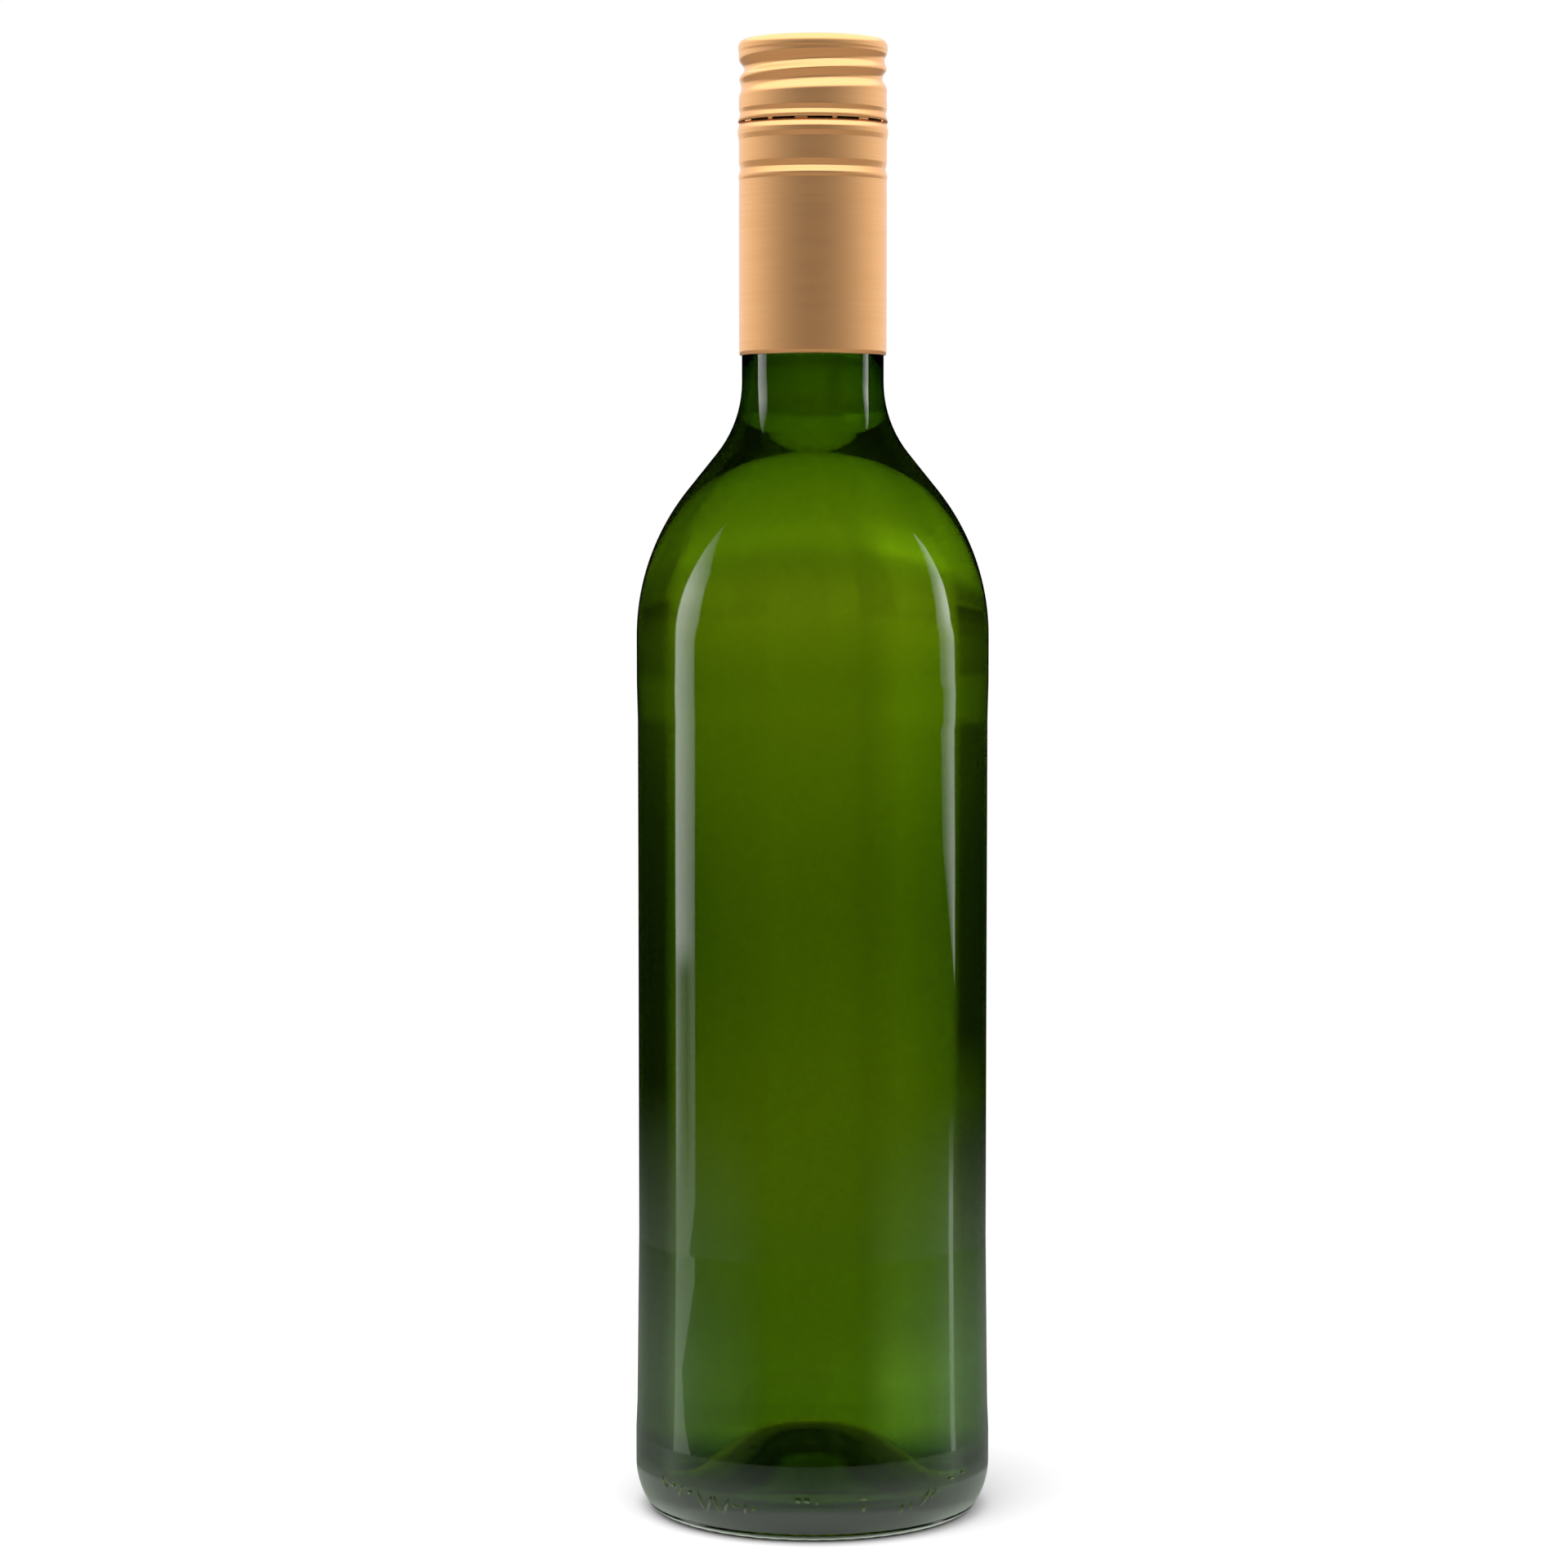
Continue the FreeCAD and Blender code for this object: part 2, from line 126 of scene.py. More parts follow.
KNURL_HEIGHT = 0.32
KNURL_MIDDLE = 1.6  # from the ring's inner edge
KNURL_REACH = 2.6


def tangent(degrees):
    """The tangent of an angle in degrees."""
    return math.tan(math.radians(degrees))


def straight(start, end, step):
    """Points after the start and up to the end, about six steps apart."""
    count = max(1, int(np.hypot(*(end - start)) / (6 * step)))
    return start + (end - start) * np.linspace(0, 1, count + 1)[1:, None]


def rounded(corners, step):
    """Points along straight runs through the corners, each (radius, height, rounding).

    An arc of the rounding touches both runs at each inner corner. It is centre + rounding times
    (minus the inward normal times cos t, plus the run times sin t), with t from 0 to the turn. Two
    arcs that need more than the run between them share it in proportion. Long runs are divided too.
    """
    corners = np.array(corners, float)
    points, rounding = corners[:, :2], corners[:, 2]
    runs = np.diff(points, axis=0)
    lengths = np.hypot(*runs.T)
    ways = runs / lengths[:, None]
    turns = np.arccos(np.clip((ways[:-1] * ways[1:]).sum(1), -1, 1))
    reach = np.concatenate([[0], rounding[1:-1] * np.tan(turns / 2), [0]])
    share = lengths / np.maximum(lengths, reach[:-1] + reach[1:])
    reach[1:-1] *= np.minimum(share[:-1], share[1:])
    pieces = [points[:1]]
    for i, turn in enumerate(turns, 1):
        start = points[i] - ways[i - 1] * reach[i]
        pieces.append(straight(pieces[-1][-1], start, step))
        if reach[i] > 1e-5:
            radius = reach[i] / math.tan(turn / 2)
            inward = ways[i] - ways[i - 1] * math.cos(turn)
            inward /= np.hypot(*inward)
            t = np.linspace(0, turn, max(4, int(radius * turn / step)) + 1)[1:, None]
            centre = start + inward * radius
            pieces.append(centre - inward * radius * np.cos(t) + ways[i - 1] * radius * np.sin(t))
    pieces.append(straight(pieces[-1][-1], points[-1], step))
    return np.concatenate(pieces)


def linked(name, mesh):
    """A mesh's object, linked to the scene."""
    piece = bpy.data.objects.new(name, mesh)
    bpy.context.scene.collection.objects.link(piece)
    return piece


def facets(name, points, faces):
    """A mesh object of flat facets between points in metres."""
    mesh = bpy.data.meshes.new(name)
    mesh.from_pydata(points.tolist(), [], faces)
    return linked(name, mesh)


def surface(name, sheets, closed_rings=()):
    """A mesh object of smooth grid sheets, each (x, y, z) of rows by columns in millimetres.

    Columns run once round and meet. A first or last row on the axis becomes one pole. A sheet whose
    number is in closed_rings has its last row joined to its first, as a ring's section is.
    """
    vertices, faces = [], []
    base = 0
    for number, (x, y, z) in enumerate(sheets):
        rows, columns = x.shape
        ring = number in closed_rings
        first = not ring and np.hypot(x[0], y[0]).max() < 1e-6
        final = not ring and np.hypot(x[-1], y[-1]).max() < 1e-6
        grid = np.stack([x, y, z], -1)
        body = grid[int(first) : rows - int(final)].reshape(-1, 3)
        count = rows - int(first) - int(final)
        index = base + np.arange(count * columns).reshape(count, columns)
        if ring:
            index = np.concatenate([index, index[:1]])
        beside = np.roll(index, -1, axis=1)
        faces.append(np.stack([index[:-1], beside[:-1], beside[1:], index[1:]], -1).reshape(-1, 4))
        vertices.append(body)
        base += len(body)
        for pole, row, flip in ((first, 0, True), (final, -1, False)):
            if pole:
                around, after = (beside[row], index[row]) if flip else (index[row], beside[row])
                tip = np.full(columns, base)
                faces.append(np.stack([around, after, tip, tip], -1))
                vertices.append(grid[row, :1])
                base += 1
    vertices, faces = np.concatenate(vertices) * MM, np.concatenate(faces)
    corners = np.where(faces[:, 2] == faces[:, 3], 3, 4)
    loops = faces[np.arange(4) < corners[:, None]]
    mesh = bpy.data.meshes.new(name)
    mesh.vertices.add(len(vertices))
    mesh.vertices.foreach_set("co", vertices.ravel())
    mesh.loops.add(len(loops))
    mesh.loops.foreach_set("vertex_index", loops.astype(np.int32))
    mesh.polygons.add(len(faces))
    starts = np.concatenate([[0], np.cumsum(corners)[:-1]]).astype(np.int32)
    mesh.polygons.foreach_set("loop_start", starts)
    mesh.polygons.foreach_set("loop_total", corners.astype(np.int32))
    mesh.update(calc_edges=True)
    mesh.validate()
    mesh.shade_smooth()
    return linked(name, mesh)


def turned(profile, columns, outward=0.0, upward=0.0):
    """A profile of (radius, height) turned once round +Z, moved by arrays of rows by columns."""
    angles = np.arange(columns) * 2 * np.pi / columns
    radius = profile[:, :1] + outward
    height = profile[:, 1:] + upward + 0 * angles
    return radius * np.cos(angles), radius * np.sin(angles), height


def eased(share):
    """(1 - cos(pi share)) / 2 with the share held from 0 to 1."""
    return (1 - np.cos(np.pi * np.clip(share, 0, 1))) / 2


def thread_relief(direction, height):
    """How far the rolled groove reaches in, in mm, at directions in degrees and heights.

    Its middle climbs one pitch a turn. Across, it is a squared cosine over the thread's reach to
    each side, and along, it is eased in over 340 degrees, held over 30 and eased out over 620.
    """
    depth = 0 * (direction + height)
    for lap in range(-3, 3):
        turn = direction + 360 * lap - 180
        across = (height - (THREAD_START + THREAD_PITCH * turn / 360)) / THREAD_REACH
        along = eased((340 - turn) / 340) * eased(1 - (-turn - 30) / 620)
        hollow = np.where(abs(across) < 1, np.cos(across * np.pi / 2) ** 2, 0)
        depth = depth + THREAD_DEPTH * along * hollow
    low_end = eased((height - THREAD_BOTTOM) / THREAD_MARGIN)
    return depth * low_end * eased((THREAD_TOP - height) / THREAD_MARGIN)


def waves(direction, height, seed, lobes=((2, 170), (3, 90), (5, 61))):
    """A smooth unevenness from -1 to 1: the mean of sin(n turn + 2 pi height / run + phase)."""
    phases = np.random.default_rng(seed).uniform(0, 2 * np.pi, len(lobes))
    turn = np.radians(direction)
    parts = [np.sin(n * turn + 2 * np.pi * height / run + p) for (n, run), p in zip(lobes, phases)]
    return sum(parts) / len(parts)


def heel_corners():
    """The heel's two corners: their arcs run into each other from the ring to the contact band."""
    width, height, small = HEEL_WIDTH, HEEL_HEIGHT, HEEL_EDGE_ROUNDING
    large = (width**2 + height**2 - 2 * height * small) / (2 * (width - small))
    turn = math.atan2(height - small, large - width)
    low_reach = small * math.tan((math.pi / 2 - turn) / 2)
    return [
        (HEEL_RADIUS - width + low_reach, 0, small),
        (HEEL_RADIUS, height - large * math.tan(turn / 2), large),
    ]


def slope_height(radius):
    """Where the inside's straight run in the shoulder, carried on, is at a radius."""
    return shoulder_body + (slope_radius - radius) / tangent(SHOULDER_SLOPE)


shoulder_neck = SKIRT_BOTTOM - NECK_RUN - NECK_ROUNDING * tangent(SHOULDER_SLOPE / 2)
shoulder_body = shoulder_neck - (SHOULDER_RADIUS - NECK_RADIUS) / tangent(SHOULDER_SLOPE)
band_top = shoulder_body - SHOULDER_ROUNDING * tangent(SHOULDER_SLOPE / 2)
band_bottom = band_top - UPPER_BAND_HEIGHT
panel_radius = SHOULDER_RADIUS - PANEL_RECESS
collar_bottom = SLIT_MIDDLE - RETAINING_GROOVE_BELOW_SLIT + RETAINING_GROOVE_WIDTH / 2
collar_top = collar_bottom + COLLAR_LENGTH
collar_edge = UNDERCUT / 2
throat = FINISH_RADIUS - UNDERCUT
ring_inside = HEEL_RADIUS - HEEL_WIDTH - RING_WIDTH
punt_top = PUNT_RADIUS - (PUNT_HEIGHT - RING_HEIGHT) / tangent(PUNT_SLOPE)
inner_punt_rise = INNER_PUNT_HEIGHT - BASE_THICKNESS
inner_punt_top = INNER_PUNT_RADIUS - inner_punt_rise / tangent(INNER_PUNT_SLOPE)
inner_body = panel_radius - BODY_WALL
inner_neck = NECK_RADIUS - NECK_WALL
slope_radius = SHOULDER_RADIUS - SHOULDER_WALL / math.cos(math.radians(SHOULDER_SLOPE))
ledge_end = (HEEL_RADIUS - HEEL_LEDGE, HEEL_BAND_TOP + HEEL_LEDGE_RUN, 0)

low_outside = rounded(
    [
        (0, PUNT_HEIGHT, 0),
        (punt_top, PUNT_HEIGHT, PUNT_ROUNDING),
        (PUNT_RADIUS, RING_HEIGHT, PUNT_FOOT_ROUNDING),
        (ring_inside - RING_RUN, RING_HEIGHT, RING_ROUNDING),
        (ring_inside, 0, RING_ROUNDING / 2),
        *heel_corners(),
        (HEEL_RADIUS, HEEL_BAND_TOP, HEEL_LEDGE_ROUNDING),
        ledge_end,
    ],
    step=0.55,
)
wall_outside = rounded(
    [
        ledge_end,
        (panel_radius, PANEL_BOTTOM, SOFT_ROUNDING),
        (panel_radius, band_bottom - PANEL_RUN, SOFT_ROUNDING),
        (SHOULDER_RADIUS, band_bottom, SOFT_ROUNDING),
        (SHOULDER_RADIUS, shoulder_body, SHOULDER_ROUNDING),
        (NECK_RADIUS, shoulder_neck, NECK_ROUNDING),
        (NECK_RADIUS, SKIRT_BOTTOM + NECK_RUN, SOFT_ROUNDING),
        (throat, collar_bottom - THROAT_LENGTH, SOFT_ROUNDING),
        (throat, collar_bottom, collar_edge),
        (FINISH_RADIUS, collar_bottom + collar_edge, collar_edge),
        (FINISH_RADIUS, collar_top - collar_edge, collar_edge),
        (throat, collar_top, collar_edge),
        (throat, THREAD_BOTTOM, 0),
    ],
    step=1.5,
)
thread_heights = np.linspace(THREAD_BOTTOM + 0.01, THREAD_TOP, THREAD_ROWS)
thread_outside = np.stack([np.full(THREAD_ROWS, FINISH_RADIUS), thread_heights], -1)
rim = rounded(
    [
        (RIM_RADIUS, THREAD_TOP, 0),
        (RIM_RADIUS, GLASS_TOP, RIM_ROUNDING),
        (BORE_RADIUS + BORE_ROUNDING, GLASS_TOP, 0),
        (BORE_RADIUS, GLASS_TOP - BORE_ROUNDING, BORE_ROUNDING),
        (BORE_RADIUS, GLASS_TOP - MOUTH_DEPTH, 0),
    ],
    step=0.4,
)
inside = rounded(
    [
        (BORE_RADIUS, GLASS_TOP - MOUTH_DEPTH, 0),
        (inner_neck, slope_height(inner_neck), NECK_ROUNDING + NECK_WALL),
        (inner_body, slope_height(inner_body), SHOULDER_ROUNDING - SHOULDER_WALL),
        (inner_body, BASE_THICKNESS, INNER_HEEL_ROUNDING),
        (INNER_PUNT_RADIUS, BASE_THICKNESS, INNER_PUNT_FOOT_ROUNDING),
        (inner_punt_top, INNER_PUNT_HEIGHT, INNER_PUNT_ROUNDING),
        (0, INNER_PUNT_HEIGHT, 0),
    ],
    step=1.6,
)
profile = np.concatenate([low_outside, wall_outside[1:], thread_outside, rim, inside[1:]])
outside_rows = len(low_outside) + len(wall_outside) - 1
inside_start = len(profile) - len(inside) + 1

directions = np.arange(GLASS_COLUMNS) * 360 / GLASS_COLUMNS
radius, height = profile[:, :1], profile[:, 1:]
outward = np.zeros((len(profile), GLASS_COLUMNS))
upward = np.zeros_like(outward)

# The outside ripples inwards by up to three hundredths of a millimetre. The inside, which no mould
# touches, is uneven by up to a millimetre. Both fade out near the base and under the closure.
outer = np.arange(len(profile))[:, None] < outside_rows
inner = np.arange(len(profile))[:, None] >= inside_start
wall = eased((height - 20) / 30) * eased((SKIRT_BOTTOM - 4 - height) / 20)
swell = 1 + waves(directions, height, 3, ((1, 210), (4, 120), (7, 75)))
outward += np.where(outer, -RIPPLE * wall * swell, 0)


def inner_unevenness(direction, height):
    """How far the blown inside stands off its mean radius, in mm.

    The wall is 0.9 thinner on the shoulder and 0.5 thicker in the middle of the body, each as
    exp(-((height - middle) / reach) squared), and 0.1 of smooth waves are added.
    """
    fade = eased((height - 8) / 30) * eased((SKIRT_BOTTOM + 20 - height) / 30)
    thin = 0.9 * np.exp(-(((height - 200) / 20) ** 2))
    thick = 0.5 * np.exp(-(((height - 125) / 34) ** 2))
    return fade * (thin - thick + 0.1 * waves(direction, height, 11))


outward += np.where(inner & (radius > 0), inner_unevenness(directions, height), 0)

# The thread is moulded on the glass as it is rolled into the closure.
threaded = (height > THREAD_BOTTOM) & (height <= THREAD_TOP) & (abs(radius - FINISH_RADIUS) < 0.01)
outward -= np.where(threaded, thread_relief(directions, height), 0)

# Short ridges cross the standing ring, with shallow notches between them.
on_ring = (height < 1.2) & (radius > ring_inside - 0.4) & (radius < ring_inside + 5)
across = np.clip((radius - ring_inside - KNURL_MIDDLE) / KNURL_REACH, -1, 1)
notch = 0.5 + 0.5 * np.cos(np.radians(directions * KNURLS))
upward += np.where(on_ring, KNURL_HEIGHT * np.cos(across * np.pi / 2) ** 2 * notch**2, 0)

bottle = surface("bottle_glass", [turned(profile, GLASS_COLUMNS, outward, upward)])


def add(tree, kind, inputs=(), **settings):
    """A node whose settings are set, and whose inputs are linked to a socket or given a value."""
    made = tree.nodes.new(kind)
    for key, value in settings.items():
        setattr(made, key, value)
    for key, value in dict(inputs).items():
        if isinstance(value, bpy.types.NodeSocket):
            tree.links.new(value, made.inputs[key])
        else:
            made.inputs[key].default_value = value
    return made


def empty_material(name):
    """A material with nothing in its node tree but its output."""
    made = bpy.data.materials.new(name)
    made.use_nodes = True
    made.node_tree.nodes.clear()
    return made, made.node_tree, made.node_tree.nodes.new("ShaderNodeOutputMaterial")


def clear_body(name, ior, tint, density):
    """A clear material that takes up light along its depth: density times (1 - tint) per metre."""
    made, tree, output = empty_material(name)
    shader = add(
        tree,
        "ShaderNodeBsdfPrincipled",
        {"Base Color": (1, 1, 1, 1), "Roughness": 0.0, "IOR": ior, "Transmission Weight": 1.0},
    )
    depth = add(tree, "ShaderNodeVolumeAbsorption", {"Color": (*tint, 1), "Density": density})
    tree.links.new(shader.outputs[0], output.inputs["Surface"])
    tree.links.new(depth.outputs[0], output.inputs["Volume"])
    return made


bottle.data.materials.append(clear_body("olive_green_glass", 1.52, (0.636, 0.736, 0.0), 1100.0))
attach(bottle, "root")
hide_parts("glass_bottle")

# ---- the mould marks ----
# Dots and short bars that the mould's engraving leaves standing up to 0.4 mm proud of the heel.
# They are plain shapes and spell nothing.
MARK_HEIGHT = 0.4
MARK_COLUMNS, MARK_ROWS = 14, 9
MARKS = np.array([
    # direction, height, half width, half length, lean in degrees
    (265.2, 9.4, 0.75, 0.6, 20), (267.9, 9.4, 0.75, 0.6, 25), (271.1, 9.1, 0.25, 0.55, 10),
    (285.6, 9.5, 1.2, 0.35, 0), (286.0, 7.4, 0.4, 0.75, 10),
    (215.0, 9.4, 0.3, 1.4, -25), (219.0, 9.5, 0.8, 0.3, 20), (223.0, 8.7, 0.3, 1.4, 30),
    (227.0, 8.7, 0.7, 0.35, -30), (231.5, 7.7, 0.35, 1.9, -20), (234.8, 7.0, 0.35, 2.0, 20),
    (238.0, 7.1, 0.35, 1.9, -20), (241.3, 7.0, 0.35, 1.9, 20), (244.5, 7.4, 0.9, 0.35, 15),
    (248.0, 6.9, 0.35, 1.1, 10), (251.0, 7.1, 0.8, 0.35, 0),
    (299.0, 6.4, 0.25, 1.1, 15), (302.5, 6.8, 0.25, 1.1, 15), (308.0, 8.0, 0.35, 2.0, 35),
    (311.5, 8.8, 0.3, 1.2, 35), (320.0, 11.0, 1.1, 0.3, 0), (326.0, 11.4, 0.6, 0.3, 0),
])


def mark_domes():
    """Closed ellipsoids, half sunk: sideways a cos u sin v, upwards b sin u sin v, out h cos v.

    u goes once round, and v goes from just off the outer end to just off the inner end.
    """
    u = np.arange(MARK_COLUMNS) * 2 * np.pi / MARK_COLUMNS
    v = np.linspace(0.12, np.pi - 0.12, MARK_ROWS)[:, None]
    direction, middle, wide, long, lean = (MARKS[:, i, None, None] for i in range(5))
    sideways = wide * np.cos(u) * np.sin(v)
    upwards = long * np.sin(u) * np.sin(v)
    outwards = MARK_HEIGHT * np.cos(v) + 0 * u
    c, s = np.cos(np.radians(lean)), np.sin(np.radians(lean))
    height = middle + upwards * c - sideways * s
    heel = low_outside[low_outside[:, 0] > HEEL_RADIUS - 4]
    around = np.radians(direction) + (sideways * c + upwards * s) / HEEL_RADIUS
    out = np.interp(height, heel[:, 1], heel[:, 0]) + outwards
    points = np.stack([out * np.cos(around), out * np.sin(around), height], -1)
    index = np.arange(points[..., 0].size).reshape(points.shape[:3])
    beside = np.roll(index, -1, axis=2)
    sides = np.stack([index[:, :-1], index[:, 1:], beside[:, 1:], beside[:, :-1]], -1)
    ends = index[:, 0].tolist() + index[:, -1, ::-1].tolist()
    return points.reshape(-1, 3) * MM, sides.reshape(-1, 4).tolist() + ends


marks = facets("mould_marks", *mark_domes())
marks.data.shade_smooth()
marks.data.materials.append(bottle.data.materials[0])
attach(marks, "root")
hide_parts("glass_bottle")

# ---- the wine ----
# Pale dry white wine that fills the bottle up to a level just inside the closure's sleeve. It wets
# the glass, so its skin is drawn a hair's breadth into the wall and turns up in a thin meniscus.
WINE_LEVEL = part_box("wine")[1][2] / MM
INTO_WALL = 0.06
MENISCUS = 1.4
MENISCUS_REACH = 1.6
BASE_RADIUS, BASE_TOP = 26.0, 25.0  # the part of the inside that lies over the punt
wine_inside = inside[inside[:, 1] < WINE_LEVEL - 0.2]
edge = wine_inside[0, 0]
across = np.linspace(0, 1, 14)[:-1]
dip = MENISCUS * (1 - np.exp((across - 1) * edge / MENISCUS_REACH))
top = np.stack([edge * across, WINE_LEVEL - dip], -1)
wine_profile = np.concatenate([top, [[edge, WINE_LEVEL]], wine_inside])[::-1]
wine_radius, wine_height = wine_profile[:, :1], wine_profile[:, 1:]
on_base = (wine_radius < BASE_RADIUS) & (wine_height < BASE_TOP)
on_wall = ~on_base & (wine_radius >= 1) & (wine_height < WINE_LEVEL - 0.1)
wine_outward = np.where(on_wall, INTO_WALL, 0) + np.where(
    on_base, 0, inner_unevenness(directions, wine_height)
)
wine_upward = np.where(on_base, -INTO_WALL, 0)
wine_sheet = turned(wine_profile, GLASS_COLUMNS, wine_outward * (wine_radius > 0), wine_upward)
wine = surface("wine_fill", [wine_sheet])
wine.data.materials.append(clear_body("pale_wine", 1.34, (0.95, 0.9, 0.5), 12.0))
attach(wine, "root")
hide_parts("wine")

# ---- the closure ----
# Drawn from one blank of 0.25 mm aluminium, gold-lacquered over fine brushing. Its thread is rolled
# in against the glass, and its cap and sleeve are parted by a slit, all but seven thin bridges.
CLOSURE_RADIUS = 15.5
SHEET = 0.25
TOP_BEAD = 0.12  # how far the bead at the top stands out
TOP_BEAD_RUN = 0.48
TOP_EDGE_ROUNDING = 1.6
GROOVE_ROUNDING = 0.7
CAP_GROOVE_ABOVE_SLIT = 1.8
CAP_GROOVE_DEPTH = 0.28
CAP_GROOVE_WIDTH = 1.9
FLARE = 0.2  # how far the cap's lip stands out at the slit
FLARE_RUN = 0.95
SLIT_HALF = 0.12
BRIDGES = 7
THREAD_SHEET_ROWS = 70
CLOSURE_COLUMNS = 350
OUTER_STEP, INNER_STEP = 0.3, 0.9
SLEEVE = [
    # out from the wall, below the slit's middle, rounding
    (-0.12, SLIT_HALF, 0), (0.24, 1.7, 0.6), (0.22, 2.6, 0.6), (0, 3.7, 0.8), (0, 8.4, 1.5),
    (-0.32, RETAINING_GROOVE_BELOW_SLIT, 0.5), (0.1, 11.1, 0.35), (0.08, 11.5, 0.3),
    (-0.04, 12.1, 0.5), (0, 16.0, GROOVE_ROUNDING),
]
SKIRT_EDGE = [
    # out from the wall, above the lower edge, rounding
    (0, 0.8, GROOVE_ROUNDING), (-0.14, 0, 0),
]


def cap_outline(inset, step):
    """The cap from its top down to the slit, at an inset of the sheet."""
    wall = CLOSURE_RADIUS - inset
    groove_middle = SLIT_MIDDLE + CAP_GROOVE_ABOVE_SLIT
    head = rounded(
        [
            (0, CLOSURE_TOP - inset, 0),
            (wall + TOP_BEAD, CLOSURE_TOP - inset, TOP_EDGE_ROUNDING - inset),
            (wall + TOP_BEAD, THREAD_TOP + TOP_BEAD_RUN, GROOVE_ROUNDING),
            (wall, THREAD_TOP, 0),
        ],
        step,
    )
    heights = np.linspace(THREAD_TOP, THREAD_BOTTOM, THREAD_SHEET_ROWS)
    thread = np.stack([np.full(THREAD_SHEET_ROWS, wall), heights], -1)
    foot = rounded(
        [
            (wall, THREAD_BOTTOM, 0),
            (wall, groove_middle + CAP_GROOVE_WIDTH / 2, GROOVE_ROUNDING),
            (wall - CAP_GROOVE_DEPTH, groove_middle, GROOVE_ROUNDING),
            (wall, SLIT_MIDDLE + FLARE_RUN, GROOVE_ROUNDING),
            (wall + FLARE, SLIT_MIDDLE + SLIT_HALF, 0),
        ],
        step / 2,
    )
    return np.concatenate([head, thread[1:], foot[1:]])


def sleeve_outline(inset, step):
    """The sleeve from the slit down to its lower edge, at an inset of the sheet."""
    wall = CLOSURE_RADIUS - inset
    beads = [(wall + out, SLIT_MIDDLE - below, rounding) for out, below, rounding in SLEEVE]
    skirt = [(wall + out, SKIRT_BOTTOM + above, rounding) for out, above, rounding in SKIRT_EDGE]
    return rounded(beads + skirt, step)


def sheet_loop(outline):
    """A closed loop down the sheet's inner side and back up its outer side."""
    return np.concatenate([outline(0, OUTER_STEP), outline(SHEET, INNER_STEP)[::-1]])[::-1]


closure_directions = np.arange(CLOSURE_COLUMNS) * 360 / CLOSURE_COLUMNS
cap_loop = sheet_loop(cap_outline)
cap_height = cap_loop[:, 1:]
on_thread = (cap_height < THREAD_TOP) & (cap_height > THREAD_BOTTOM) & (cap_loop[:, :1] > 5)
pressed_in = np.where(on_thread, thread_relief(closure_directions, cap_height), 0)
cap_sheet = turned(cap_loop, CLOSURE_COLUMNS, -pressed_in)
sleeve_sheet = turned(sheet_loop(sleeve_outline), CLOSURE_COLUMNS)
closure = surface("closure_shell", [cap_sheet, sleeve_sheet], closed_rings=(1,))
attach(closure, "root")
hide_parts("closure")

# ---- the bridges and tabs across the slit ----
# Left standing when the slit was cut: seven thin bridges that the first twist tears, and between
# them the low tabs of the sleeve's lip.
BRIDGE_WIDTH = 0.95
TAB_WIDTH = 2.6
TAB_HEIGHT = 0.14
FIRST_BRIDGE = 270 + 16.4


def strip_blocks(directions, width, low, high, radius, depth):
    """Closed curved blocks: a section's four corners carried along five steps of each width."""
    half = width / radius / 2
    a = np.radians(np.array(directions))[:, None] + np.linspace(-half, half, 5)
    inner, outer = radius - depth, radius
    section = np.array([(inner, low), (outer, low), (outer, high), (inner, high)])
    x = section[:, 0, None, None] * np.cos(a)
    y = section[:, 0, None, None] * np.sin(a)
    z = section[:, 1, None, None] + 0 * a
    points = np.stack([x, y, z], -1).transpose(1, 2, 0, 3)
    blocks, steps = points.shape[:2]
    i = np.arange(blocks * steps * 4).reshape(blocks, steps, 4)
    around = np.roll(i, -1, axis=2)
    sides = np.stack([i[:, :-1], i[:, 1:], around[:, 1:], around[:, :-1]], -1).reshape(-1, 4)
    ends = np.concatenate([i[:, 0], i[:, -1, ::-1]])
    return points.reshape(-1, 3) * MM, np.concatenate([sides, ends])


lip = CLOSURE_RADIUS + 0.08
turns = FIRST_BRIDGE + np.arange(BRIDGES) * 360 / BRIDGES
low_lip, high_lip = SLIT_MIDDLE - SLIT_HALF, SLIT_MIDDLE + SLIT_HALF
root, thickness = low_lip - 0.1, SHEET - 0.05
bridge_points, bridge_faces = strip_blocks(
    turns, BRIDGE_WIDTH, root, high_lip + 0.1, lip - 0.04, thickness
)
tab_points, tab_faces = strip_blocks(
    turns + 180 / BRIDGES, TAB_WIDTH, root, low_lip + TAB_HEIGHT, lip - 0.03, thickness
)
bridges = facets(
    "closure_bridges",
    np.concatenate([bridge_points, tab_points]),
    np.concatenate([bridge_faces, tab_faces + len(bridge_points)]).tolist(),
)
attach(bridges, "root")
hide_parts("closure")


